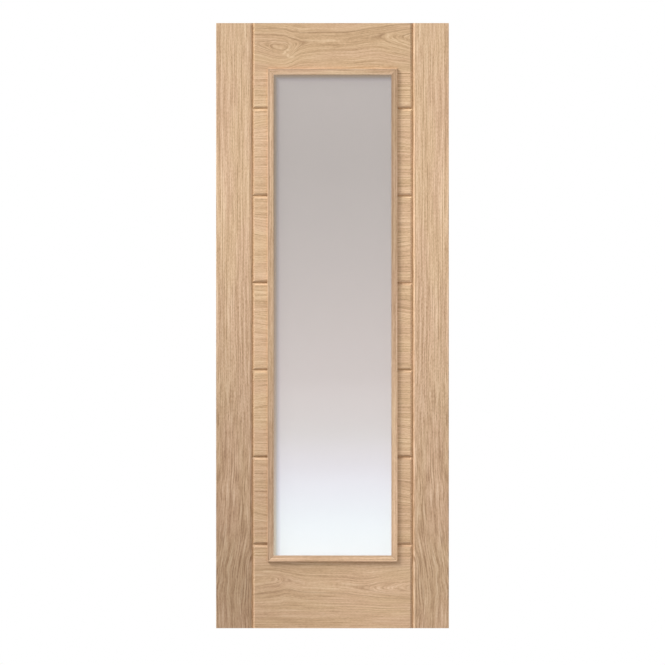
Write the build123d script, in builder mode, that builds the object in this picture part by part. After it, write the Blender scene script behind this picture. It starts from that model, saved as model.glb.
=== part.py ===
"""Glazed interior door leaf: oak-faced stiles and rails, grooved side panels and a tall beaded pane.

The leaf stands in the XZ plane with its front towards -Y. The origin is at the foot of the hanging edge,
at mid thickness, so X runs across the leaf to the closing edge and Z runs up it. All sizes are in mm.
"""

from build123d import *

import os

# Leaf
leaf_width = 762.0
leaf_height = 1981.0
leaf_thickness = 35.0
facing_thickness = 6.5
lipping_width = 8.0
lipping_arris = 1.5

# Framing, measured to the centre of each upright groove and to the edge of the glazed opening
stile_width = 119.0
infill_width = 59.0
top_rail_height = 159.0
bottom_rail_height = 228.0

# V-grooves cut into the facings
groove_width = 15.5
groove_depth = 5.5
groove_count = 6
first_groove_drop = 280.0
last_groove_rise = 274.0

# Glass and its bedding tape
glass_thickness = 6.0
glass_edge_gap = 3.0
tape_thickness = 2.0
tape_setback = 1.0
tape_end_gap = 0.5

# Glazing bead: a flat fillet, a quirk and a band that falls to the glass. It laps over the facing,
# and its leg reaches down through the opening to the tape
bead_width = 20.0
bead_lap = 10.0
bead_fit_gap = 0.3
bead_proud = 9.0
bead_fall = 2.0
bead_fillet_width = 4.5
bead_quirk_width = 1.0
bead_quirk_depth = 1.4
bead_outer_arris = 2.5
bead_inner_arris = 1.5

# Places worked out from the sizes above
half_thickness = leaf_thickness / 2
core_half = half_thickness - facing_thickness
opening_left = stile_width + infill_width
opening_right = leaf_width - opening_left
opening_bottom = bottom_rail_height
opening_top = leaf_height - top_rail_height
bead_reveal = bead_width - bead_lap
sight_width = opening_right - opening_left - 2 * bead_reveal
sight_height = opening_top - opening_bottom - 2 * bead_reveal
opening_centre_x = (opening_left + opening_right) / 2
opening_centre_z = (opening_bottom + opening_top) / 2
glass_width = opening_right - opening_left - 2 * glass_edge_gap
glass_height = opening_top - opening_bottom - 2 * glass_edge_gap
tape_width = bead_reveal - glass_edge_gap - tape_setback
first_groove_height = leaf_height - first_groove_drop
groove_pitch = (first_groove_height - last_groove_rise) / (groove_count - 1)
groove_heights = [first_groove_height - i * groove_pitch for i in range(groove_count)]

front = -1
rear = 1
faces_of_leaf = {"front": front, "rear": rear}

os.makedirs("parts", exist_ok=True)


def save(part, name):
    """Labels a finished piece and writes it as its own STEP file."""
    part.label = name
    export_step(part, f"parts/{name}.step")


def block(x_span, y_span, z_span):
    """A plain squared timber between three pairs of limits."""
    size = [span[1] - span[0] for span in (x_span, y_span, z_span)]
    centre = [(span[0] + span[1]) / 2 for span in (x_span, y_span, z_span)]
    with BuildPart() as timber:
        with Locations(tuple(centre)):
            Box(*size)
    return timber.part


def facing(x_span, z_span, side, grooved):
    """One oak facing on the front or rear of a core, with half a V-groove along each named edge."""
    edge_of = {
        "left": (Axis.X, 0),
        "right": (Axis.X, -1),
        "bottom": (Axis.Z, 0),
        "top": (Axis.Z, -1),
    }
    centre_x = (x_span[0] + x_span[1]) / 2
    centre_z = (z_span[0] + z_span[1]) / 2
    glue_plane = Plane(origin=(centre_x, side * core_half, centre_z), x_dir=(1, 0, 0), z_dir=(0, side, 0))
    with BuildPart() as plate:
        with BuildSketch(glue_plane):
            Rectangle(x_span[1] - x_span[0], z_span[1] - z_span[0])
        extrude(amount=facing_thickness)
        show_face = plate.faces().sort_by(Axis.Y)[0 if side == front else -1]
        groove_edges = [show_face.edges().sort_by(edge_of[name][0])[edge_of[name][1]] for name in grooved]
        chamfer(groove_edges, length=groove_width / 2, length2=groove_depth, reference=show_face)
    return plate.part


def lipping(outer_x, inner_x):
    """The solid oak strip on a long edge of the leaf, with its two outer arrises eased."""
    with BuildPart() as strip:
        with Locations(((outer_x + inner_x) / 2, 0, leaf_height / 2)):
            Box(abs(inner_x - outer_x), leaf_thickness, leaf_height)
        outer_face = strip.faces().sort_by(Axis.X)[0 if outer_x < inner_x else -1]
        fillet(outer_face.edges().filter_by(Axis.Z), lipping_arris)
    return strip.part


def bead(outward, side, run_length):
    """One mitred length of glazing bead. outward points from the glass to the timber beside it."""
    normal = Vector(0, side, 0)
    along = outward.cross(normal)
    reach = sight_width / 2 if abs(outward.X) > 0.5 else sight_height / 2
    foot = Vector(opening_centre_x, side * half_thickness, opening_centre_z) + outward * reach
    back = -(half_thickness - glass_thickness / 2 - tape_thickness)
    leg = bead_reveal - bead_fit_gap
    fillet_start = bead_width - bead_fillet_width
    quirk_start = fillet_start - bead_quirk_width
    quirk_floor = bead_proud - bead_quirk_depth
    with BuildPart() as moulding:
        with BuildSketch(Plane(origin=foot, x_dir=outward, z_dir=along)) as profile:
            with BuildLine():
                Polyline(
                    (0, bead_proud - bead_fall),
                    (0, back),
                    (leg, back),
                    (leg, 0),
                    (bead_width, 0),
                    (bead_width, bead_proud),
                    (fillet_start, bead_proud),
                    (fillet_start, quirk_floor),
                    (quirk_start, quirk_floor),
                    (quirk_start, bead_proud),
                )
                TangentArc((quirk_start, bead_proud), (0, bead_proud - bead_fall), tangent=(-1, 0))
            make_face()
            columns = profile.vertices().group_by(Axis.X)
            fillet(columns[-1].sort_by(Axis.Y)[-1], bead_outer_arris)
            fillet(columns[0].sort_by(Axis.Y)[-1], bead_inner_arris)
        extrude(amount=run_length / 2 + bead_width, both=True)
        for end in (along, -along):
            mitre = Plane(origin=foot + end * (run_length / 2), x_dir=normal, z_dir=end - outward)
            split(bisect_by=mitre, keep=Keep.BOTTOM)
    return moulding.part


def tape(side):
    """The four strips of bedding tape between the pane and the beads on one face."""
    centre_y = side * (glass_thickness + tape_thickness) / 2
    strip_x = glass_width / 2 - tape_width / 2
    strip_z = glass_height / 2 - tape_width / 2
    upright_length = glass_height - 2 * (tape_width + tape_end_gap)
    with BuildPart() as strips:
        with Locations(Location((opening_centre_x, centre_y, opening_centre_z))):
            with Locations((0, 0, -strip_z), (0, 0, strip_z)):
                Box(glass_width, tape_thickness, tape_width)
            with Locations((-strip_x, 0, 0), (strip_x, 0, 0)):
                Box(tape_width, tape_thickness, upright_length)
    return strips.part


# Stiles: a timber core faced on both sides, with an oak lipping on the long edge
full_height = (0, leaf_height)
core_depth = (-core_half, core_half)
stiles = {
    "hanging_stile": {"faced": (lipping_width, stile_width), "edge": 0, "grooved": "right"},
    "closing_stile": {
        "faced": (leaf_width - stile_width, leaf_width - lipping_width),
        "edge": leaf_width,
        "grooved": "left",
    },
}
for name, stile in stiles.items():
    save(block(stile["faced"], core_depth, full_height), f"{name}_core")
    for face_name, side in faces_of_leaf.items():
        save(facing(stile["faced"], full_height, side, [stile["grooved"]]), f"{name}_{face_name}_facing")
    inner_x = lipping_width if stile["edge"] == 0 else leaf_width - lipping_width
    save(lipping(stile["edge"], inner_x), f"{name}_lipping")

# Rails: set between the stiles, above and below the glazed opening
rail_span = (stile_width, leaf_width - stile_width)
rails = {"top_rail": (opening_top, leaf_height), "bottom_rail": (0, opening_bottom)}
for name, z_span in rails.items():
    save(block(rail_span, core_depth, z_span), f"{name}_core")
    for face_name, side in faces_of_leaf.items():
        save(facing(rail_span, z_span, side, ["left", "right"]), f"{name}_{face_name}_facing")

# Side infills: one core on each side of the glass, faced in short panels that the grooves divide
infills = {
    "left": {"span": (stile_width, opening_left), "grooved": "left"},
    "right": {"span": (opening_right, leaf_width - stile_width), "grooved": "right"},
}
panel_limits = [opening_top, *groove_heights, opening_bottom]
for name, infill in infills.items():
    save(block(infill["span"], core_depth, (opening_bottom, opening_top)), f"{name}_infill_core")
    for i in range(len(panel_limits) - 1):
        panel_top = panel_limits[i]
        panel_bottom = panel_limits[i + 1]
        grooved = [infill["grooved"]]
        if i > 0:
            grooved.append("top")
        if i < groove_count:
            grooved.append("bottom")
        with BuildPart() as pair:
            add(facing(infill["span"], (panel_bottom, panel_top), front, grooved))
            mirror(about=Plane.XZ)
        save(pair.part, f"{name}_panel_{i + 1}_facings")

# Pane, bedding tape and beads
glass_x = (opening_centre_x - glass_width / 2, opening_centre_x + glass_width / 2)
glass_y = (-glass_thickness / 2, glass_thickness / 2)
glass_z = (opening_centre_z - glass_height / 2, opening_centre_z + glass_height / 2)
save(block(glass_x, glass_y, glass_z), "glass_pane")

bead_runs = {
    "top_bead": (Vector(0, 0, 1), sight_width),
    "bottom_bead": (Vector(0, 0, -1), sight_width),
    "left_bead": (Vector(-1, 0, 0), sight_height),
    "right_bead": (Vector(1, 0, 0), sight_height),
}
for face_name, side in faces_of_leaf.items():
    save(tape(side), f"{face_name}_glazing_tape")
    for name, (outward, run_length) in bead_runs.items():
        save(bead(outward, side, run_length), f"{face_name}_{name}")
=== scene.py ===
# %% [markdown]
# # A glazed oak door leaf
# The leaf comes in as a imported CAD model, in metres, standing in the XZ plane with its front towards -Y.
# Its shapes are right as they are, so this lesson is about finish: how to give planed oak its growth
# layers, streaks and pores, how to grade a satin pane, and how to light a flat, pale object so that its
# grooves still read.

# %% Load the leaf
import math

import bpy
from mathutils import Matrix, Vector


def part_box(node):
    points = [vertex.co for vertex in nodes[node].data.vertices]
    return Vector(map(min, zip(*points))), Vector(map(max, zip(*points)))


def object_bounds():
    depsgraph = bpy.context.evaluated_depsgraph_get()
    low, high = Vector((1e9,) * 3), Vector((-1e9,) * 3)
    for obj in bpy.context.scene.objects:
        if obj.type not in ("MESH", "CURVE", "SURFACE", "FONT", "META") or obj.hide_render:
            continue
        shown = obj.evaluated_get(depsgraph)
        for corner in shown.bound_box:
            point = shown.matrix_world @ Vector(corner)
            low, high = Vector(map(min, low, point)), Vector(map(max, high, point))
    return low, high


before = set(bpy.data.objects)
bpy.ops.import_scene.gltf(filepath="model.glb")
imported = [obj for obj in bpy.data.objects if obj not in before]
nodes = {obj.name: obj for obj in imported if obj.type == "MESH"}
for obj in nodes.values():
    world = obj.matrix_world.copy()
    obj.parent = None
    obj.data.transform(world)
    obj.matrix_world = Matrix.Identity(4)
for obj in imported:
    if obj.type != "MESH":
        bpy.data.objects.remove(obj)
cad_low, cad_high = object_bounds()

leaf_width = cad_high.x
leaf_height = cad_high.z
leaf_middle = leaf_width / 2
print("leaf", round(leaf_width, 3), "m wide,", round(leaf_height, 3), "m high,", len(nodes), "pieces")

# %% [markdown]
# ## Camera
# The leaf is seen square on, and its two long edges are parallel in the picture. A long lens would come
# close to that, but an orthographic camera gives it exactly, and then one pixel is the same number of
# millimetres everywhere. The leaf stands a little above the middle of the frame.

# %% Square-on camera
picture_pixels = 665
metres_per_pixel = 0.0032735
frame_centre_height = 0.968
camera_distance = 6.0

bpy.ops.object.select_all(action="DESELECT")
bpy.ops.object.camera_add(
    location=(leaf_middle, -camera_distance, frame_centre_height),
    rotation=(math.radians(90), 0, 0),
)
camera = bpy.context.object
camera.name = "camera"
camera.data.type = "ORTHO"
camera.data.ortho_scale = picture_pixels * metres_per_pixel
bpy.context.scene.camera = camera
print("camera sees", round(camera.data.ortho_scale, 3), "m across")

# %% [markdown]
# ## Node helpers
# Every finish below is a small network of nodes. Typing each node and link by hand would hide the idea,
# so a few short helpers do it. One adds a node and fills its inputs, one does arithmetic, and one eases a
# value between two limits. Two more open a node group with named sockets and put it to use.

# %% Node helpers
def add_node(tree, kind, values=None, **settings):
    """Adds a node. values maps an input to a number, a colour or the socket that feeds it."""
    node = tree.nodes.new(kind)
    for name, setting in settings.items():
        setattr(node, name, setting)
    for key, value in (values or {}).items():
        if isinstance(value, bpy.types.NodeSocket):
            tree.links.new(value, node.inputs[key])
        else:
            node.inputs[key].default_value = value
    return node


def calc(tree, operation, *values):
    """One Math node, returned as its output socket."""
    return add_node(tree, "ShaderNodeMath", dict(enumerate(values)), operation=operation).outputs[0]


def ease(tree, value, start, end, low=0.0, high=1.0):
    """Goes smoothly from low to high while the value goes from start to end."""
    return add_node(
        tree, "ShaderNodeMapRange",
        {"Value": value, "From Min": start, "From Max": end, "To Min": low, "To Max": high},
        interpolation_type="SMOOTHSTEP",
    ).outputs["Result"]


print("node helpers: add_node, calc, ease")

# %% Group helpers
def open_group(name, inputs, outputs):
    """A shader node group with float sockets. Returns its tree, its input sockets and its outputs."""
    tree = bpy.data.node_groups.new(name, "ShaderNodeTree")
    for direction, sockets in (("INPUT", inputs), ("OUTPUT", outputs)):
        for socket in sockets:
            tree.interface.new_socket(socket, in_out=direction, socket_type="NodeSocketFloat")
    return tree, tree.nodes.new("NodeGroupInput").outputs, tree.nodes.new("NodeGroupOutput").inputs


def use_group(tree, group, **values):
    """Puts a group into a tree and returns its outputs. Its inputs are named in lower case."""
    sockets = {name.replace("_", " ").capitalize(): value for name, value in values.items()}
    return add_node(tree, "ShaderNodeGroup", sockets, node_tree=group).outputs


print("group helpers: open_group, use_group")

# %% [markdown]
# ## Soft spots
# A knot, a stain or a bulge in the growth layers has no hard rim. One small group makes a spot that is 1
# at its centre and fades out over a chosen length and width, as a bell curve does.

# %% Soft spot group
spot_group, spot_in, spot_out = open_group(
    "soft_spot",
    ("Along", "Across", "Centre along", "Centre across", "Half length", "Half width"),
    ("Mask",),
)
reach_along = calc(spot_group, "SUBTRACT", spot_in["Along"], spot_in["Centre along"])
reach_along = calc(spot_group, "DIVIDE", reach_along, spot_in["Half length"])
reach_across = calc(spot_group, "SUBTRACT", spot_in["Across"], spot_in["Centre across"])
reach_across = calc(spot_group, "DIVIDE", reach_across, spot_in["Half width"])
reach = calc(spot_group, "MULTIPLY", reach_along, reach_along)
reach = calc(spot_group, "MULTIPLY_ADD", reach_across, reach_across, reach)
bell = calc(spot_group, "EXPONENT", calc(spot_group, "MULTIPLY", reach, -1.0))
spot_group.links.new(bell, spot_out["Mask"])


def spot(tree, along, across, centre, half_size):
    """A soft spot at a centre (along, across), with a half size (along, across), in metres."""
    return use_group(
        tree, spot_group, along=along, across=across, centre_along=centre[0], centre_across=centre[1],
        half_length=half_size[0], half_width=half_size[1],
    )["Mask"]


print("soft spot group has", len(spot_group.nodes), "nodes")

# %% [markdown]
# ## Flat-sawn layers
# A tree lays its wood down in layers, and a plank is a flat cut through them. A board cut flat past the
# heart of the log shows pointed arches and eyes along a heart line, and level lines on both sides of it.
# Both come out of one formula: how deep a place lies in the layers is its distance from the heart line,
# rounded off near the line, less a graze that says how far the cut bites in there. Where the graze is
# deepest, the level lines of that depth close into an eye. Heart and graze lose their hold with distance,
# so the lines near the edges of the board are straight.

# %% Flat-sawn group
sawn_group, sawn_in, sawn_out = open_group(
    "flat_sawn_layers", ("Across", "Level", "Heart", "Graze", "Breadth", "Reach"), ("Layer", "Side"))
away = calc(sawn_group, "SUBTRACT", sawn_in["Across"], sawn_in["Level"])
reaches = calc(sawn_group, "DIVIDE", away, sawn_in["Reach"])
fade = calc(sawn_group, "MULTIPLY", calc(sawn_group, "MULTIPLY", reaches, reaches), -1.0)
fade = calc(sawn_group, "EXPONENT", fade)
side = calc(sawn_group, "SUBTRACT", away, calc(sawn_group, "MULTIPLY", sawn_in["Heart"], fade))
rounded = calc(sawn_group, "MULTIPLY", sawn_in["Breadth"], sawn_in["Breadth"])
rounded = calc(sawn_group, "SQRT", calc(sawn_group, "MULTIPLY_ADD", side, side, rounded))
graze = calc(sawn_group, "MULTIPLY", sawn_in["Graze"], fade)
sawn_group.links.new(calc(sawn_group, "SUBTRACT", rounded, graze), sawn_out["Layer"])
sawn_group.links.new(side, sawn_out["Side"])
print("flat-sawn group has", len(sawn_group.nodes), "nodes")

# %% [markdown]
# ## Oak grain
# Planed oak shows several things at once. Growth lines run every few millimetres, uneven in spacing and
# strength. Between them lie streaks: long and fine where the trunk grew straight, short and broad where
# it grew wild. Flecks a few millimetres long break them up, and finest of all are the pores. The group
# takes a place in the wood, measured along the grain, through its layers and to the side. It gives a
# tone, a slow drift of hue, a pore mask and a height for the bump. All its noise is drawn out along the
# grain, which is what makes it look like wood and not like stone.

# %% Grain noise
noise_roughness = 0.6
streak_edges = (-0.5, 0.5)


def grain_noise(tree, place, seed, scales, detail=0.0):
    """Noise drawn out along the grain, about -1 to 1, at a place (along, layer, side). The scales are
    features to a metre, along the grain and across it."""
    along, layer, side = place
    vector = add_node(
        tree, "ShaderNodeCombineXYZ",
        {"X": calc(tree, "MULTIPLY", along, scales[0]),
         "Y": calc(tree, "MULTIPLY", layer, scales[1]),
         "Z": calc(tree, "MULTIPLY", side, scales[1])},
    ).outputs[0]
    noise = add_node(
        tree, "ShaderNodeTexNoise",
        {"Vector": vector, "W": seed, "Scale": 1.0, "Detail": detail, "Roughness": noise_roughness},
        noise_dimensions="4D",
    )
    return calc(tree, "MULTIPLY_ADD", noise.outputs["Fac"], 2.0, -1.0)


def streak_sum(tree, place, seed, kinds):
    """Adds up streaks of several kinds, each a share and its (along, across) scales."""
    total = 0.0
    for share, scales in kinds:
        streak = ease(tree, grain_noise(tree, place, seed, scales, detail=1.0), *streak_edges, -1.0, 1.0)
        total = calc(tree, "MULTIPLY_ADD", streak, share, total)
    return total


print("streaks are full at a noise of", streak_edges)

# %% Grain: growth lines
drift_scales = (2.5, 9.0)
seed_step = 13.7
uneven_rate, uneven_reach = 0.45, 1.8
line_rise, line_fall = (0.25, 0.85), (1.0, 0.88)
break_scales, break_limits = (6.0, 40.0), (-0.35, 0.25)
faintest_line = 0.25

grain_group, grain_in, grain_out = open_group(
    "oak_grain",
    ("Along", "Layer", "Side", "Seed", "Pitch", "Lines", "Streaks", "Wander", "Wild"),
    ("Tone", "Hue", "Pores", "Height"),
)
g = grain_group
seed = grain_in["Seed"]
place = (grain_in["Along"], grain_in["Layer"], grain_in["Side"])
drift = grain_noise(g, place, seed, drift_scales, detail=1.0)
layer = calc(g, "MULTIPLY_ADD", drift, grain_in["Wander"], grain_in["Layer"])
place = (grain_in["Along"], layer, grain_in["Side"])

# The layer is counted in line pitches, unevenly, and each line has a weight of its own
count = calc(g, "DIVIDE", layer, grain_in["Pitch"])
uneven = calc(g, "MULTIPLY_ADD", seed, seed_step, calc(g, "MULTIPLY", count, uneven_rate))
uneven = add_node(
    g, "ShaderNodeTexNoise", {"W": uneven, "Scale": 1.0, "Detail": 1.0}, noise_dimensions="1D",
).outputs["Fac"]
count = calc(g, "MULTIPLY_ADD", uneven, uneven_reach, count)
weight = calc(g, "ADD", calc(g, "FLOOR", count), seed)
weight = add_node(g, "ShaderNodeTexWhiteNoise", {"W": weight}, noise_dimensions="1D").outputs["Value"]
fraction = calc(g, "FRACT", count)
line = calc(g, "MULTIPLY", ease(g, fraction, *line_rise), ease(g, fraction, *line_fall))
come_and_go = ease(g, grain_noise(g, place, seed, break_scales), *break_limits, faintest_line, 1.0)
line = calc(g, "MULTIPLY", line, calc(g, "MULTIPLY", weight, come_and_go))
print("growth lines take", len(g.nodes), "nodes")

# %% Grain: streaks, flecks and pores
straight_streaks = [(0.20, (1.1, 130.0)), (0.55, (2.6, 450.0)), (0.48, (14.0, 560.0))]
wild_streaks = [(0.25, (2.0, 90.0)), (0.55, (6.0, 220.0)), (0.62, (17.0, 280.0))]
flecks = [(0.35, (110.0, 520.0))]
mix_gain = 1.6
pore_scales, pore_limits = (110.0, 2400.0), (0.18, 0.42)
pores_off_lines = 0.4
hue_scales, hue_limits = (5.0, 28.0), (-0.4, 0.4)
tone_relief = 0.3

straight = streak_sum(g, place, seed, straight_streaks)
wild = streak_sum(g, place, seed, wild_streaks)
tone = calc(g, "MULTIPLY_ADD", calc(g, "SUBTRACT", wild, straight), grain_in["Wild"], straight)

# Half of one noise and half of another is weaker than either, so the tone is made up where the two mix
both = calc(g, "MULTIPLY", grain_in["Wild"], calc(g, "SUBTRACT", 1.0, grain_in["Wild"]))
tone = calc(g, "MULTIPLY", tone, calc(g, "MULTIPLY_ADD", both, mix_gain, 1.0))
tone = calc(g, "ADD", tone, streak_sum(g, place, seed, flecks))
tone = calc(g, "MULTIPLY", tone, grain_in["Streaks"])
tone = calc(g, "SUBTRACT", tone, calc(g, "MULTIPLY", line, grain_in["Lines"]))
pores = ease(g, grain_noise(g, place, seed, pore_scales), *pore_limits)
porous = calc(g, "MULTIPLY_ADD", line, 1.0 - pores_off_lines, pores_off_lines)
pores = calc(g, "MULTIPLY", pores, porous)
g.links.new(tone, grain_out["Tone"])
g.links.new(ease(g, grain_noise(g, place, seed, hue_scales), *hue_limits), grain_out["Hue"])
g.links.new(pores, grain_out["Pores"])
g.links.new(calc(g, "SUBTRACT", calc(g, "MULTIPLY", tone, tone_relief), pores), grain_out["Height"])
print("grain group has", len(g.nodes), "nodes")

# %% [markdown]
# ## Oak, one plank at a time
# Each plank gets a material of its own, so that no two neighbours repeat. A plank's cell works out where
# a place lies in the wood, and one function does the rest. The colour is a ramp from brown through the
# plain oak colour to pale straw, marks and pores darken it, and roughness and bump come from the same
# masks. The shade multiplies the colour, and much of it is painted shade: the darkening towards the foot
# and in the grooves. Where the colour is darkened it turns browner too: green and blue fall faster than
# red, so the shade is raised to a slightly higher power for them.

# %% Finish helpers
def new_finish(name):
    """A material, its node tree, and the X, Y and Z of a place on the piece that wears it."""
    material = bpy.data.materials.new(name)
    material.use_nodes = True
    tree = material.node_tree
    place = add_node(tree, "ShaderNodeTexCoord").outputs["Object"]
    axes = add_node(tree, "ShaderNodeSeparateXYZ", {"Vector": place}).outputs
    return material, tree, axes


def blend(tree, factor, first, second, blend_type="MIX"):
    """Two colours, blended."""
    values = {"Factor": factor, "A": first, "B": second}
    return add_node(tree, "ShaderNodeMix", values, data_type="RGBA", blend_type=blend_type).outputs["Result"]


def ramp(tree, value, stops, interpolation="LINEAR"):
    """A colour ramp through (position, colour) stops, the first at 0."""
    node = add_node(tree, "ShaderNodeValToRGB", {"Fac": value})
    node.color_ramp.interpolation = interpolation
    elements = node.color_ramp.elements
    elements[0].color = (*stops[0][1], 1)
    elements[1].position, elements[1].color = stops[-1][0], (*stops[-1][1], 1)
    for position, colour in stops[1:-1]:
        elements.new(position).color = (*colour, 1)
    return node.outputs["Color"]


def dress(node_name, material):
    """Gives a CAD piece its finish."""
    slots = nodes[node_name].data.materials
    slots.clear()
    slots.append(material)


print("finish helpers: new_finish, blend, ramp, dress")

# %% Oak finish
oak_brown = (0.44, 0.275, 0.155)
oak_plain = (0.690, 0.470, 0.298)
oak_straw = (0.86, 0.645, 0.445)
mark_brown = (0.30, 0.165, 0.085, 1)
pore_brown = (0.36, 0.215, 0.115, 1)
# The deeper brown of the painted shade at the bottom of a groove
groove_shade_brown = (0.79, 0.69, 0.59, 1)
pink_cast = (1.010, 0.990, 1.0)
yellow_cast = (1.0, 1.002, 0.970)
green_fall, blue_fall = 1.11, 1.18
pore_share = 0.45
pore_depth = 0.0003
oak_bump = 0.35
oak_roughness, pore_roughness = 0.55, 0.2
oak_specular = 0.35


def finish_oak(tree, place, grain, shade=1.0, tint=(1, 1, 1), marks=0.0, glints=0.0, groove_shade=0.0):
    """Turns a place (along, layer, side) into oak. shade and tint multiply the colour, and shade carries
    painted shade and light. marks darken it, glints lighten it, and the groove mask browns it: painted
    shade deep in a groove."""
    shader = tree.nodes["Principled BSDF"]
    masks = use_group(tree, grain_group, along=place[0], layer=place[1], side=place[2], **grain)
    tone = calc(tree, "MULTIPLY_ADD", masks["Tone"], 0.5, 0.5)
    colour = ramp(tree, tone, [(0.0, oak_brown), (0.5, oak_plain), (1.0, oak_straw)])
    colour = blend(tree, calc(tree, "MULTIPLY", masks["Pores"], pore_share), colour, pore_brown)
    colour = blend(tree, marks, colour, mark_brown)
    colour = blend(tree, glints, colour, (*oak_straw, 1))
    pink, yellow = ([a * b for a, b in zip(tint, cast)] + [1] for cast in (pink_cast, yellow_cast))
    colour = blend(tree, 1.0, colour, blend(tree, masks["Hue"], pink, yellow), "MULTIPLY")
    deepen = add_node(
        tree, "ShaderNodeCombineColor",
        {"Red": shade,
         "Green": calc(tree, "POWER", shade, green_fall),
         "Blue": calc(tree, "POWER", shade, blue_fall)},
    ).outputs["Color"]
    colour = blend(tree, 1.0, colour, deepen, "MULTIPLY")
    # Painted shade: the bottom of a groove is browned
    colour = blend(tree, groove_shade, colour, groove_shade_brown, "MULTIPLY")
    roughness = calc(tree, "MULTIPLY_ADD", masks["Pores"], pore_roughness, oak_roughness)
    bump = add_node(
        tree, "ShaderNodeBump", {"Height": masks["Height"], "Strength": oak_bump, "Distance": pore_depth})
    tree.links.new(colour, shader.inputs["Base Color"])
    tree.links.new(roughness, shader.inputs["Roughness"])
    tree.links.new(bump.outputs["Normal"], shader.inputs["Normal"])
    shader.inputs["Specular IOR Level"].default_value = oak_specular


print("oak runs from", oak_brown, "to", oak_straw)

# %% [markdown]
# ## Grooves
# The bottom of a V-groove is painted a deeper brown: painted shade, for the shadow that the groove holds
# and the brown of light bouncing between its walls. Above it the walls of the groove get painted light
# and shade of their own, so they can be paler or darker than the face.
# The grooves are the only places on the facings that lie below the face of the leaf. So the distance from
# mid thickness, the size of Y, is all that these two masks need to know.

# %% Groove masks
leaf_face = -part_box("hanging_stile_front_facing")[0].y
# Depths where the groove's painted shade starts and is full, and where its walls' painted light does
groove_shade_start, groove_shade_full = leaf_face - 0.0020, leaf_face - 0.0047
rim_start, rim_full = leaf_face - 0.0001, leaf_face - 0.0007


def groove_shade_mask(tree, axes):
    """A mask for the painted groove shade: 0 on the face of the leaf and 1 down in a groove."""
    return ease(tree, calc(tree, "ABSOLUTE", axes["Y"]), groove_shade_start, groove_shade_full)


def groove_rim(tree, axes, groove_shade):
    """A mask that is 1 on the walls of a groove, above its painted shade, where the walls get painted light.
    """
    wall = ease(tree, calc(tree, "ABSOLUTE", axes["Y"]), rim_start, rim_full)
    return calc(tree, "SUBTRACT", wall, groove_shade)


print("leaf face lies", round(leaf_face, 4), "m from mid thickness")

# %% [markdown]
# ## Stiles
# The two stiles are veneered from one flitch, opened like a book, so each is the mirror of the other.
# Measuring across the grain from the middle of the leaf gives that for nothing. The grain is straight at
# the head. Towards the foot it grows wild and brown flames appear in it. The colour is darkened towards
# the foot too, more so in the hanging stile: that is painted shade, light falling off towards the floor,
# and it is kept out of the groove, whose walls get painted light of their own. Three drawn curves over the
# height say how far the colour is darkened, how strong the streaks are, and how much the grain leans
# outwards near the foot. Near each outer edge a small dark notch shows where a twig grew. The lippings are
# cut from the same boards and wear the same finish.

# %% Drawn curve
def curve(tree, value, points):
    """A smooth curve drawn through a few (value, result) points."""
    places = [point[0] for point in points]
    results = [point[1] for point in points]
    low, reach = min(results), max(results) - min(results)
    length = places[-1] - places[0]
    fraction = calc(tree, "DIVIDE", calc(tree, "SUBTRACT", value, places[0]), length)
    node = add_node(tree, "ShaderNodeFloatCurve", {"Value": fraction})
    line = node.mapping.curves[0]
    scaled = [((place - places[0]) / length, (result - low) / reach) for place, result in points]
    line.points[0].location = scaled[0]
    line.points[1].location = scaled[-1]
    for point in scaled[1:-1]:
        line.points.new(*point)
    node.mapping.update()
    return calc(tree, "MULTIPLY_ADD", node.outputs["Value"], reach, low)


print("a drawn curve is one Float Curve node, scaled to its points")

# %% Stile grain
wild_top, wild_foot = 1.05, 0.15
wave_seed, wave_scales = 3.0, (9.0, 16.0)
wave_height = 0.008
stile_groove = leaf_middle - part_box("hanging_stile_front_facing")[1].x
lean = [(0.0, 0.036), (0.10, 0.040), (0.16, 0.037), (0.30, 0.014), (0.45, 0.005), (0.62, 0.0), (1.0, 0.0),
        (leaf_height, 0.0)]
lean_at_groove = 0.5


def stile_layer(tree, axes, from_middle, wild):
    """How deep a place lies in the layers of a stile, which wave where it grew wild and lean at the foot."""
    wave = grain_noise(tree, (axes["Z"], from_middle, axes["Y"]), wave_seed, wave_scales, detail=1.0)
    layer = calc(tree, "MULTIPLY_ADD", calc(tree, "MULTIPLY", wave, wild), wave_height, from_middle)
    lean_share = add_node(
        tree, "ShaderNodeMapRange",
        {"Value": from_middle, "From Min": stile_groove, "From Max": leaf_middle, "To Min": lean_at_groove},
    ).outputs["Result"]
    return calc(tree, "SUBTRACT", layer, calc(tree, "MULTIPLY", curve(tree, axes["Z"], lean), lean_share))


print("stile grooves lie", round(stile_groove, 3), "m from the middle of the leaf")

# %% Stile tones
# The foot value is painted shade, light falling off towards the floor, and the curve below draws it over the
# height. The wall value is painted light on the walls of the groove.
stiles = {"hanging_stile": {"foot": 0.66, "wall_light": 1.40}, "closing_stile": {"foot": 0.78, "wall_light": 1.13}}
darkening = [(0.0, 1.07), (0.12, 1.14), (0.27, 1.01), (0.40, 0.81), (0.52, 0.70), (0.67, 0.66), (0.83, 0.49),
             (1.08, 0.20), (1.40, -0.02), (1.70, 0.0), (1.90, 0.10), (leaf_height, 0.14)]
groove_reach = 0.012


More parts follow.
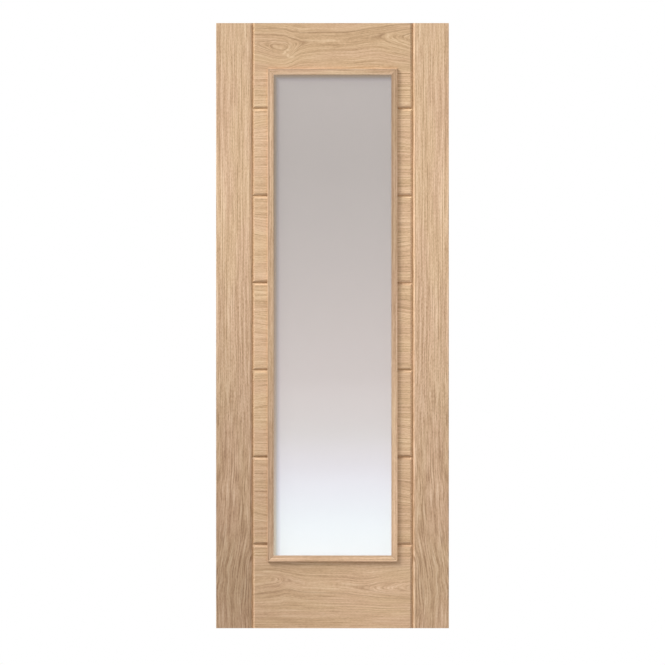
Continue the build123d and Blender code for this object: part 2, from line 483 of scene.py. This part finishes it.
def stile_tones(tree, axes, from_middle, tones):
    """The painted shade of a stile and the painted shade in its groove. tones gives the painted shade at the
    foot and the painted light on the groove's walls. A lipping's edge lies below the face of the leaf too,
    so both groove masks are kept to the side of the stile where the groove is."""
    near_groove = ease(tree, from_middle, stile_groove + groove_reach, stile_groove)
    groove_shade = groove_shade_mask(tree, axes)
    wall_light = calc(tree, "MULTIPLY", groove_rim(tree, axes, groove_shade), near_groove)
    groove_shade = calc(tree, "MULTIPLY", groove_shade, near_groove)
    # Painted shade: the colour darkens towards the foot
    shade = calc(tree, "MULTIPLY_ADD", curve(tree, axes["Z"], darkening), tones["foot"] - 1.0, 1.0)
    # The foot's painted shade is taken back inside the groove
    shade = calc(tree, "MULTIPLY_ADD", calc(tree, "SUBTRACT", 1.0, shade), groove_shade, shade)
    # Painted light on the walls of the groove
    shade = calc(tree, "MULTIPLY", shade, calc(tree, "MULTIPLY_ADD", wall_light, tones["wall_light"] - 1.0, 1.0))
    return shade, groove_shade


print("shades at the foot:", {stile: tones["foot"] for stile, tones in stiles.items()})

# %% Stiles
stile_grain = {"seed": 3.0, "pitch": 0.012, "lines": 0.4, "wander": 0.001}
streak_strength = [(0.0, 1.02), (0.30, 1.02), (0.55, 1.06), (0.76, 1.48), (1.0, 1.48), (1.30, 1.15),
                   (leaf_height, 1.13)]
flame_seed, flame_scales = 8.0, (13.0, 210.0)
flame_limits = (0.05, 0.5)
flame_share = 0.36
notch_height, notch_reach = 0.290, 0.361
notch_half_size = (0.016, 0.004)
notch_share = 0.5

for stile, tones in stiles.items():
    finish, tree, axes = new_finish(f"{stile}_oak")
    from_middle = calc(tree, "ABSOLUTE", calc(tree, "SUBTRACT", axes["X"], leaf_middle))
    wild = ease(tree, axes["Z"], wild_top, wild_foot)
    place = (axes["Z"], stile_layer(tree, axes, from_middle, wild), axes["Y"])
    flames = grain_noise(tree, place, flame_seed, flame_scales, detail=1.0)
    flames = calc(tree, "MULTIPLY", ease(tree, flames, *flame_limits, 0.0, flame_share), wild)
    notch = spot(tree, axes["Z"], from_middle, (notch_height, notch_reach), notch_half_size)
    marks = calc(tree, "MULTIPLY_ADD", notch, notch_share, flames)
    streaks = curve(tree, axes["Z"], streak_strength)
    shade, groove_shade = stile_tones(tree, axes, from_middle, tones)
    grain = dict(stile_grain, streaks=streaks, wild=wild)
    finish_oak(tree, place, grain, shade=shade, marks=marks, groove_shade=groove_shade)
    for piece in ("front_facing", "rear_facing", "lipping"):
        dress(f"{stile}_{piece}", finish)
    print(stile, "has", len(tree.nodes), "nodes in its finish")

# %% [markdown]
# ## Rails
# The rails are flat-sawn, with level grain. Two drawn curves shape each figure. One is the heart
# line, its height at a few places along the rail, and the other is the graze. The top rail has an eye
# near its left end and arches that open to the right. The bottom rail has a smaller eye and wider arches.
# Level is the height that the heart line is drawn about, and reach is how far up and down the board it
# holds. A few strong growth lines are set by their depth in the layers, and they show best on one side of
# the heart. Small knots and pale glints are soft spots, each a centre, a half size and a strength.

# %% Rail figures
rails = {
    "top_rail": {
        "seed": 11.0,
        "shades": (0.93, 0.93),
        "tint": (1, 0.995, 0.950),
        "strong_side": 1,
        "level": 1.920,
        "reach": 0.085,
        "heart": [(0.111, -0.001), (0.150, -0.008), (0.193, -0.019), (0.219, -0.023), (0.242, -0.019),
                  (0.268, -0.008), (0.340, 0.001), (0.422, 0.002), (0.536, 0.017), (0.648, 0.015)],
        "graze": [(0.111, 0.018), (0.170, 0.028), (0.196, 0.034), (0.212, 0.035), (0.239, 0.025),
                  (0.268, 0.008), (0.284, 0.0035), (0.356, 0.0), (0.438, 0.0), (0.536, 0.004),
                  (0.563, 0.011), (0.648, 0.031)],
        "strong_lines": [(0.0337, 0.50), (0.0115, 0.42), (-0.0065, 0.26), (-0.0150, 0.22)],
        "knots": [((0.541, 1.945), (0.010, 0.0045), 0.30), ((0.629, 1.946), (0.006, 0.003), 0.30),
                  ((0.399, 1.9026), (0.006, 0.002), 0.30)],
        "glints": [((0.240, 1.902), (0.004, 0.008), 0.5), ((0.234, 1.893), (0.005, 0.004), 0.9),
                   ((0.226, 1.886), (0.004, 0.004), 0.9), ((0.221, 1.881), (0.005, 0.003), 0.7),
                   ((0.235, 1.875), (0.004, 0.005), 0.9), ((0.248, 1.870), (0.009, 0.003), 0.7)],
    },
    "bottom_rail": {
        "seed": 17.0,
        "shades": (0.81, 0.89),
        "tint": (1, 1, 0.98),
        "strong_side": -1,
        "level": 0.145,
        "reach": 0.060,
        "heart": [(0.111, 0.006), (0.150, 0.013), (0.185, 0.017), (0.232, 0.014), (0.265, 0.006),
                  (0.298, 0.001), (0.419, -0.0035), (0.478, -0.012), (0.553, -0.015), (0.648, -0.015)],
        "graze": [(0.111, 0.015), (0.153, 0.0165), (0.176, 0.016), (0.203, 0.012), (0.232, 0.002),
                  (0.265, 0.0), (0.419, 0.0), (0.478, 0.002), (0.536, 0.0110), (0.648, 0.0275)],
        "strong_lines": [(0.0321, 0.36), (0.0131, 0.22), (-0.0095, 0.18)],
        "knots": [((0.607, 0.123), (0.012, 0.003), 0.25)],
        "glints": [((0.140, 0.174), (0.020, 0.0025), 0.7), ((0.168, 0.186), (0.018, 0.0025), 0.7)],
    },
}
print("rail figures:", ", ".join(rails))

# %% Rails
rail_grain = {"pitch": 0.0065, "lines": 0.30, "streaks": 0.76, "wander": 0.001, "wild": 0.15}
# The bottom rail's shades lie below the top rail's: painted shade, the darkening towards the foot
rail_fade = (0.12, 0.50)
heart_breadth = 0.0147
side_drift = 0.12
line_half_width = 0.0018
strong_limits = (-0.03, 0.01)
weak_side = 0.25


def add_spots(tree, axes, spots, total=0.0):
    """Adds soft spots on the face of the leaf to a mask, each a centre, a half size and a strength."""
    for centre, half_size, strength in spots:
        mask = spot(tree, axes["X"], axes["Z"], centre, half_size)
        total = calc(tree, "MULTIPLY_ADD", mask, strength, total)
    return total


for rail, figure in rails.items():
    finish, tree, axes = new_finish(f"{rail}_oak")
    sawn = use_group(
        tree, sawn_group, across=axes["Z"], level=figure["level"], reach=figure["reach"],
        heart=curve(tree, axes["X"], figure["heart"]), graze=curve(tree, axes["X"], figure["graze"]),
        breadth=heart_breadth,
    )

    # A spot that reads the layer alone is a soft line along the grain
    marks = 0.0
    for depth, strength in figure["strong_lines"]:
        line = spot(tree, sawn["Layer"], 0.0, (depth, 0.0), (line_half_width, 1.0))
        marks = calc(tree, "MULTIPLY_ADD", line, strength, marks)
    strong = calc(tree, "MULTIPLY", sawn["Side"], figure["strong_side"])
    marks = calc(tree, "MULTIPLY", marks, ease(tree, strong, *strong_limits, weak_side, 1.0))
    side = calc(tree, "MULTIPLY_ADD", sawn["Side"], side_drift, axes["Y"])
    finish_oak(
        tree, (axes["X"], sawn["Layer"], side), dict(rail_grain, seed=figure["seed"]),
        shade=ease(tree, axes["X"], *rail_fade, *figure["shades"]), tint=figure["tint"],
        marks=add_spots(tree, axes, figure["knots"], marks), glints=add_spots(tree, axes, figure["glints"]),
        groove_shade=groove_shade_mask(tree, axes),
    )
    for face in ("front", "rear"):
        dress(f"{rail}_{face}_facing", finish)
    print(rail, "has", len(tree.nodes), "nodes in its finish")

# %% [markdown]
# ## Panels
# Seven short panels stand on each side of the glass, each cut across a different board, so each has a
# seed of its own. In some the lines bow up or down towards the glass, at a height given for each panel.
# They too are painted darker towards the foot, painted shade as on the stiles. The walls of the grooves
# get painted light and shade: the sills, which face up to the sun, keep less of the groove's painted
# shade, and the upright walls are painted paler on the right, where they lie in shade, than on the left.

# %% Panel tones
# Panels are painted darker towards the foot over panel_fade: painted shade, as on the stiles
panel_fade = (0.25, 1.10)
wall_edge = (0.009, 0.007)
# Painted light on the sills, which face the sun, and how much of the groove's painted shade they lose
sill_light, sill_shade_cut = 1.02, 0.80


def panel_tones(tree, axes, panel_top, groove_x, board):
    """The painted shade of a panel and the painted shade in its grooves. A wall is the strip that lies
    within wall_edge of the panel's top or of its upright groove, and each gets painted light of its own."""
    upright = calc(tree, "ABSOLUTE", calc(tree, "SUBTRACT", axes["X"], groove_x))
    upright = ease(tree, upright, *wall_edge)
    sill = ease(tree, calc(tree, "SUBTRACT", panel_top, axes["Z"]), *wall_edge)
    groove_shade = groove_shade_mask(tree, axes)
    wall_light = groove_rim(tree, axes, groove_shade)
    # Painted light on the walls: one gain for the sills and one for the upright wall
    paler = calc(tree, "MULTIPLY", sill, sill_light - 1.0)
    paler = calc(tree, "MULTIPLY_ADD", upright, board["wall_light"] - 1.0, paler)
    shade = ease(tree, axes["Z"], *panel_fade, board["foot_shade"], 1.0)
    shade = calc(tree, "MULTIPLY", shade, calc(tree, "MULTIPLY_ADD", wall_light, paler, 1.0))
    # The sills face the sun, so they keep less of the groove's painted shade
    groove_shade = calc(tree, "MULTIPLY", groove_shade, calc(tree, "MULTIPLY_ADD", sill, -sill_shade_cut, 1.0))
    return shade, groove_shade


print("panels deepen below", panel_fade[1], "m")

# %% Panels
# The wall tone is painted light on the upright wall: darker on the left, facing the sun, paler on the right
panel_sides = {
    "left": {
        "seed": 20.0, "foot_shade": 0.82, "tint": (1.005, 1.005, 0.975), "glass_side": 1, "wall_light": 0.85,
        "bows": [(0.5, 0.0), (0.82, 0.012), (0.58, -0.014), (0.52, -0.014), (0.72, 0.012), (0.38, -0.014),
                 (0.5, 0.0)],
    },
    "right": {
        "seed": 40.0, "foot_shade": 0.90, "tint": (1.02, 1.005, 0.96), "glass_side": 0, "wall_light": 1.18,
        "bows": [(0.5, 0.0), (0.62, 0.010), (0.40, -0.010), (0.70, 0.012), (0.35, 0.010), (0.62, 0.014),
                 (0.5, 0.0)],
    },
}
panel_grain = {"pitch": 0.008, "lines": 0.25, "streaks": 0.95, "wander": 0.003, "wild": 0.10}
bow_half_size = (0.055, 0.045)

for side_name, board in panel_sides.items():
    for i, (bow_height, bow_rise) in enumerate(board["bows"], start=1):
        name = f"{side_name}_panel_{i}_facings"
        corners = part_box(name)
        low, high = corners[0].z, corners[1].z
        bow_centre = (corners[board["glass_side"]].x, low + bow_height * (high - low))
        groove_x = corners[1 - board["glass_side"]].x
        finish, tree, axes = new_finish(f"{side_name}_panel_{i}_oak")
        bow = spot(tree, axes["X"], axes["Z"], bow_centre, bow_half_size)
        layer = calc(tree, "MULTIPLY_ADD", bow, -bow_rise, axes["Z"])
        shade, groove_shade = panel_tones(tree, axes, high, groove_x, board)
        grain = dict(panel_grain, seed=board["seed"] + i)
        finish_oak(
            tree, (axes["X"], layer, axes["Y"]), grain, shade=shade, tint=board["tint"], groove_shade=groove_shade)
        dress(name, finish)
    print(side_name, "panels dressed:", len(board["bows"]))

# %% [markdown]
# ## Beads
# The glazing bead is a small moulding in four mitred lengths, each from a stick of its own, so each has
# its own tone and fades its own way from foot to head. The sight line, where bead meets glass, gets a
# darker or paler band. The outer edge gets painted light and shade, darker where it faces the sun and paler
# where it lies in shade, and the quirk a painted shade line. A fine dark joint shows at the mitres. All of
# them come from one measure: how far a place lies outside the sight line, across and up.

# %% Sight line
# The beads cover the pane by the sight margin, all round
pane_low, pane_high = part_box("glass_pane")
sight_margin = 0.007
sight_half_width = (pane_high.x - pane_low.x) / 2 - sight_margin
sight_half_height = (pane_high.z - pane_low.z) / 2 - sight_margin
sight_middle = (pane_low.z + pane_high.z) / 2


def outside(tree, value, middle, half_size):
    """How far a value lies outside a span, given by its middle and half its size."""
    return calc(tree, "SUBTRACT", calc(tree, "ABSOLUTE", calc(tree, "SUBTRACT", value, middle)), half_size)


def thin_line(tree, distance, half_width, share):
    """A soft dark line where a distance is about nothing, full over the inner quarter of its width."""
    return ease(tree, calc(tree, "ABSOLUTE", distance), half_width, half_width / 4, 0.0, share)


print("glass shows", round(2 * sight_half_width, 3), "by", round(2 * sight_half_height, 3), "m")

# %% Bead tones
bead_fade = (0.3, 1.6)
inner_band = (0.003, 0.011)
outer_band = (0.013, 0.018)
quirk_place, quirk_half_width = 0.015, 0.0012
mitre_half_width, mitre_share = 0.0015, 0.4


def bead_tones(tree, axes, tones):
    """The shade of a bead with painted light and shade on its outer edge, its painted quirk shade and
    mitres.
    """
    out_x = outside(tree, axes["X"], leaf_middle, sight_half_width)
    out_z = outside(tree, axes["Z"], sight_middle, sight_half_height)
    from_sight = calc(tree, "MAXIMUM", out_x, out_z)
    shade = ease(tree, axes["Z"], *bead_fade, tones["foot"], tones["head"])
    shade = calc(tree, "MULTIPLY", shade, ease(tree, from_sight, *inner_band, tones["inner"], 1.0))
    # Painted light and shade on the outer edge
    shade = calc(tree, "MULTIPLY", shade, ease(tree, from_sight, *outer_band, 1.0, tones["outer"]))
    mitre = thin_line(tree, calc(tree, "SUBTRACT", out_x, out_z), mitre_half_width, mitre_share)
    # Painted shade: a dark line in the quirk
    quirk = calc(tree, "SUBTRACT", from_sight, quirk_place)
    quirk = thin_line(tree, quirk, quirk_half_width, tones["quirk"])
    return shade, calc(tree, "MAXIMUM", mitre, quirk)


print("quirk lies", quirk_place, "m outside the sight line")

# %% Beads
# The outer tone is painted light and shade on the outer edge, and the quirk strength a painted shade line
beads = {
    "top": {"foot": 1.05, "head": 1.05, "inner": 1.0, "outer": 0.72, "quirk": 0.10},
    "bottom": {"foot": 1.06, "head": 1.06, "inner": 0.72, "outer": 1.20, "quirk": 0.10},
    "left": {"foot": 0.80, "head": 1.03, "inner": 1.0, "outer": 0.85, "quirk": 0.40},
    "right": {"foot": 0.99, "head": 0.72, "inner": 0.80, "outer": 1.20, "quirk": 0.20},
}
bead_grain = {"pitch": 0.006, "lines": 0.4, "streaks": 0.9, "wander": 0.001, "wild": 0.2}
bead_seed = 60.0

for face in ("front", "rear"):
    for i, (bead, tones) in enumerate(beads.items()):
        finish, tree, axes = new_finish(f"{face}_{bead}_bead_oak")
        level = bead in ("top", "bottom")
        along, across = (axes["X"], axes["Z"]) if level else (axes["Z"], axes["X"])
        shade, marks = bead_tones(tree, axes, tones)
        grain = dict(bead_grain, seed=bead_seed + i)
        finish_oak(tree, (along, across, axes["Y"]), grain, shade=shade, marks=marks)
        dress(f"{face}_{bead}_bead", finish)
print("beads dressed:", 2 * len(beads))

# %% [markdown]
# ## Cores
# The cores show on the top and bottom edges of the leaf, between the facings. They are laminated
# softwood: narrow pale staves with a glue line between them, each turned its own way. On the end of a
# stile core the growth rings show as arcs, and on the edge of a rail core the same rings run as lines.
# One formula gives both: the distance from a pith that lies somewhere outside each stave, counted in ring
# widths.

# %% Growth rings
ring_width = 0.0028
pith_sideways = 0.03
pith_nearest, pith_spread = 0.02, 0.05
late_rise, late_fall = (0.2, 0.9), (1.0, 0.93)


def late_wood(tree, sideways, depth, chance, waver):
    """A mask of the dark part of each ring, at a place (sideways, depth) in a stave. chance places the
    stave's pith, and waver bends the rings."""
    pith_x = calc(tree, "MULTIPLY_ADD", chance, 2 * pith_sideways, -pith_sideways)
    pith_y = calc(tree, "MULTIPLY_ADD", chance, pith_spread, pith_nearest)
    ring_x = calc(tree, "ADD", sideways, pith_x)
    ring_y = calc(tree, "ADD", depth, pith_y)
    radius = calc(tree, "MULTIPLY_ADD", ring_x, ring_x, calc(tree, "MULTIPLY", ring_y, ring_y))
    radius = calc(tree, "MULTIPLY_ADD", waver, ring_width, calc(tree, "SQRT", radius))
    ring = calc(tree, "FRACT", calc(tree, "DIVIDE", radius, ring_width))
    return calc(tree, "MULTIPLY", ease(tree, ring, *late_rise), ease(tree, ring, *late_fall))


print("rings are", ring_width, "m wide")

# %% Softwood finish
soft_pale = (0.62, 0.47, 0.29)
soft_amber = (0.44, 0.26, 0.12)
glue_brown = (0.30, 0.19, 0.10, 1)
stave_width = 0.032
stave_step = 7.0
stave_darkest, stave_range = 0.80, 0.25
core_seed = 80.0
waver_scales, fibre_scales = (4.0, 40.0), (30.0, 1800.0)
fibre_share, late_share = 0.2, 0.75
glue_half_width, glue_share = 0.0007, 0.8
soft_bump = 0.3
soft_roughness, late_polish = 0.75, 0.15


def finish_softwood(tree, along, across, depth, number):
    """Laminated softwood, with staves side by side across the grain. Each core has its own number."""
    shader = tree.nodes["Principled BSDF"]
    stave = calc(tree, "DIVIDE", across, stave_width)
    in_stave = calc(tree, "SUBTRACT", calc(tree, "FRACT", stave), 0.5)
    chance = calc(tree, "ADD", calc(tree, "FLOOR", stave), stave_step * number)
    chance = add_node(tree, "ShaderNodeTexWhiteNoise", {"W": chance}, noise_dimensions="1D").outputs["Value"]
    place = (along, across, depth)
    waver = grain_noise(tree, place, core_seed + number, waver_scales, detail=2.0)
    fibre = grain_noise(tree, place, core_seed + number, fibre_scales, detail=1.0)
    late = late_wood(tree, calc(tree, "MULTIPLY", in_stave, stave_width), depth, chance, waver)
    tone = calc(tree, "MULTIPLY_ADD", fibre, fibre_share, calc(tree, "MULTIPLY", late, late_share))
    edge = calc(tree, "SUBTRACT", calc(tree, "ABSOLUTE", in_stave), 0.5)
    glue = thin_line(tree, calc(tree, "MULTIPLY", edge, stave_width), glue_half_width, glue_share)
    colour = ramp(tree, tone, [(0.0, soft_pale), (1.0, soft_amber)])
    colour = blend(tree, glue, colour, glue_brown)
    stave_tone = calc(tree, "MULTIPLY_ADD", chance, stave_range, stave_darkest)
    colour = blend(tree, 1.0, colour, stave_tone, "MULTIPLY")
    height = calc(tree, "SUBTRACT", fibre, glue)
    bump = add_node(
        tree, "ShaderNodeBump", {"Height": height, "Strength": soft_bump, "Distance": pore_depth})
    roughness = calc(tree, "MULTIPLY_ADD", late, -late_polish, soft_roughness)
    tree.links.new(colour, shader.inputs["Base Color"])
    tree.links.new(roughness, shader.inputs["Roughness"])
    tree.links.new(bump.outputs["Normal"], shader.inputs["Normal"])


print("staves are", stave_width, "m wide")

# %% Cores
cores = {
    "hanging_stile": "Z", "closing_stile": "Z", "left_infill": "Z", "right_infill": "Z",
    "top_rail": "X", "bottom_rail": "X",
}
for i, (core, grain_axis) in enumerate(cores.items()):
    finish, tree, axes = new_finish(f"{core}_core_softwood")
    across_axis = "X" if grain_axis == "Z" else "Z"
    finish_softwood(tree, axes[grain_axis], axes[across_axis], axes["Y"], i)
    dress(f"{core}_core", finish)
print("cores dressed:", len(cores))

# %% [markdown]
# ## Bedding tape
# A foam tape lies between pane and bead. It is dark grey and closed-celled, so up close it has a skin of
# small round dimples. A Voronoi texture is a field of such cells, and its distance makes the tone, the
# roughness and the bump.

# %% Bedding tape
cells_to_a_metre = 1600.0
foam_dark = (0.045, 0.046, 0.048)
foam_pale = (0.12, 0.12, 0.125)
palest_at = 0.8
foam_bump = 0.4
foam_roughness, rim_roughness = 0.7, 0.2

foam, tree, axes = new_finish("grey_foam")
shader = tree.nodes["Principled BSDF"]
place = add_node(tree, "ShaderNodeCombineXYZ", {axis: axes[axis] for axis in "XYZ"}).outputs[0]
cells = add_node(
    tree, "ShaderNodeTexVoronoi", {"Vector": place, "Scale": cells_to_a_metre},
).outputs["Distance"]
colour = ramp(tree, cells, [(0.0, foam_dark), (palest_at, foam_pale)])
roughness = calc(tree, "MULTIPLY_ADD", cells, rim_roughness, foam_roughness)
bump = add_node(tree, "ShaderNodeBump", {"Height": cells, "Strength": foam_bump, "Distance": pore_depth})
tree.links.new(colour, shader.inputs["Base Color"])
tree.links.new(roughness, shader.inputs["Roughness"])
tree.links.new(bump.outputs["Normal"], shader.inputs["Normal"])
for face in ("front", "rear"):
    dress(f"{face}_glazing_tape", foam)
print("foam has", cells_to_a_metre / 1000, "cells to a millimetre")

# %% [markdown]
# ## Glass
# The pane shows nothing that stands behind it, and goes from grey at the head to white at the foot. That
# is satin glass, etched so that it scatters light. Clear glass would show the backdrop sharp. So the
# shader lets most of the light through, roughly, and scatters the rest as a matt surface does. The grade
# from grey to white is painted light: a ramp over the height darkens the colour towards the head, on a
# smooth curve, because the eye sees a line where a straight gradient changes its slope. Along the head and
# the left edge lies the bead's shadow, short and deep, with the brown of the bead in it close to the sight
# line. Glass that scatters so little hardly catches a shadow, so a second ramp draws it, over the distance
# from those two edges. A fine etch breaks up the gloss.

# %% Glass tones
# Painted light: the pane's colour over its height, darker towards the head
glass_tones = [
    (0.0, (0.958, 0.992, 1.0)), (0.08, (0.909, 0.943, 0.974)), (0.17, (0.833, 0.820, 0.863)),
    (0.25, (0.742, 0.703, 0.702)), (0.37, (0.667, 0.608, 0.591)), (0.75, (0.532, 0.487, 0.465)),
]
edge_reach = 0.026
edge_tones = [
    (0.0, (0.69, 0.56, 0.42)), (0.25, (0.70, 0.615, 0.515)), (0.38, (0.70, 0.665, 0.62)),
    (0.50, (0.79, 0.765, 0.77)), (0.75, (0.935, 0.92, 0.94)), (1.0, (1.0, 1.0, 1.0)),
]
glass, tree, axes = new_finish("satin_glass")
height = add_node(
    tree, "ShaderNodeMapRange",
    {"Value": axes["Z"], "From Min": pane_low.z, "From Max": pane_high.z},
).outputs["Result"]
from_left = calc(tree, "SUBTRACT", axes["X"], leaf_middle - sight_half_width)
from_head = calc(tree, "SUBTRACT", sight_middle + sight_half_height, axes["Z"])
from_edge = calc(tree, "DIVIDE", calc(tree, "MINIMUM", from_left, from_head), edge_reach)
colour = ramp(tree, height, glass_tones, "CARDINAL")
colour = blend(tree, 1.0, colour, ramp(tree, from_edge, edge_tones, "CARDINAL"), "MULTIPLY")
print("glass graded over", round(pane_high.z - pane_low.z, 3), "m")

# %% Satin glass
etch_seed, etch_scales = 90.0, (700.0, 700.0)
satin_roughness, etch_roughness = 0.20, 0.06
see_through = 0.90
glass_ior = 1.45

shader = tree.nodes["Principled BSDF"]
etch = grain_noise(tree, (axes["X"], axes["Z"], axes["Y"]), etch_seed, etch_scales, detail=2.0)
roughness = calc(tree, "MULTIPLY_ADD", etch, etch_roughness, satin_roughness)
tree.links.new(colour, shader.inputs["Base Color"])
tree.links.new(roughness, shader.inputs["Roughness"])
shader.inputs["Transmission Weight"].default_value = see_through
shader.inputs["IOR"].default_value = glass_ior
dress("glass_pane", glass)
print("glass has", len(tree.nodes), "nodes in its finish")

# %% [markdown]
# ## Floor and backdrop
# The leaf stands on a wide plain floor, with nothing but white behind it. In a real studio the backdrop
# is lit until it burns out, and some of that light spills onto the object. Here the floor asks what kind
# of ray looks at it instead. A ray straight from the camera sees mostly a white glow and a little of the
# shaded floor, so that the shadow of the leaf stays. A ray that comes by way of glass or gloss sees plain
# white. A ray that carries light sees a grey floor, which keeps the bounce on the leaf low.

# %% Floor
floor_size = 40.0
floor_grey = (0.31, 0.31, 0.31, 1)
pure_white = (1, 1, 1, 1)
camera_glow = 0.8


def ray_kinds(tree):
    """Two masks: rays straight from the camera, and rays that come by way of glass or gloss."""
    rays = add_node(tree, "ShaderNodeLightPath").outputs
    return rays["Is Camera Ray"], calc(tree, "MAXIMUM", rays["Is Glossy Ray"], rays["Is Transmission Ray"])


bpy.ops.object.select_all(action="DESELECT")
bpy.ops.mesh.primitive_plane_add(size=floor_size, location=(leaf_middle, 0, 0))
floor = bpy.context.object
floor.name = "floor"
pale = bpy.data.materials.new("pale_floor")
pale.use_nodes = True
tree = pale.node_tree
shader = tree.nodes["Principled BSDF"]
shader.inputs["Base Color"].default_value = floor_grey
shader.inputs["Roughness"].default_value = 1.0
shader.inputs["Specular IOR Level"].default_value = 0.0
direct, by_way = ray_kinds(tree)
seen = calc(tree, "MAXIMUM", calc(tree, "MULTIPLY", direct, camera_glow), by_way)
glow = add_node(tree, "ShaderNodeEmission", {"Color": pure_white, "Strength": 1.0})
mixed = add_node(tree, "ShaderNodeMixShader", {"Fac": seen, 1: shader.outputs[0], 2: glow.outputs[0]})
tree.links.new(mixed.outputs[0], tree.nodes["Material Output"].inputs["Surface"])
floor.data.materials.append(pale)
print("floor is", floor_size, "m square")

# %% [markdown]
# ## Fill and key lights
# Light from all round would flatten the grooves, and a single lamp would leave them black. So the world
# is a white fill from every side, and a sun that stands high and well to the left adds the rest. It
# grazes the face, so even a shallow groove and a low bead throw a shadow. A second, lower sun does the
# same for the back of the leaf. Each is as wide as a large soft box, so its shadows have soft rims, and
# its strength is worked out from its share of the light on the face that it shines on. Fill and share add
# up to a little over 1, less what the grey floor keeps back, so a colour renders about as it is written.

# %% World fill
fill_strength = 0.785

world = bpy.data.worlds.new("studio")
bpy.context.scene.world = world
world.use_nodes = True
tree = world.node_tree
fill = tree.nodes["Background"]
fill.inputs["Color"].default_value = pure_white
fill.inputs["Strength"].default_value = fill_strength
white = add_node(tree, "ShaderNodeBackground", {"Color": pure_white, "Strength": 1.0})
seen = calc(tree, "MAXIMUM", *ray_kinds(tree))
mixed = add_node(tree, "ShaderNodeMixShader", {"Fac": seen, 1: fill.outputs[0], 2: white.outputs[0]})
tree.links.new(mixed.outputs[0], tree.nodes["World Output"].inputs["Surface"])
bpy.context.scene.view_settings.view_transform = "Standard"
print("world fill", fill_strength)

# %% Suns
sun_share = 0.36
sun_width = 25
sun_distance = 4.0
sun_directions = {"front_sun": (-0.65, -0.35, 0.67), "rear_sun": (0.70, 0.60, 0.25)}

for name, direction in sun_directions.items():
    towards_sun = Vector(direction).normalized()
    bpy.ops.object.select_all(action="DESELECT")
    bpy.ops.object.light_add(type="SUN", location=sun_distance * towards_sun)
    sun = bpy.context.object
    sun.name = name
    sun.rotation_mode = "QUATERNION"
    sun.rotation_quaternion = towards_sun.to_track_quat("Z", "Y")
    sun.data.energy = sun_share * math.pi / abs(towards_sun.y)
    sun.data.angle = math.radians(sun_width)
    print(name, "strength", round(sun.data.energy, 2))
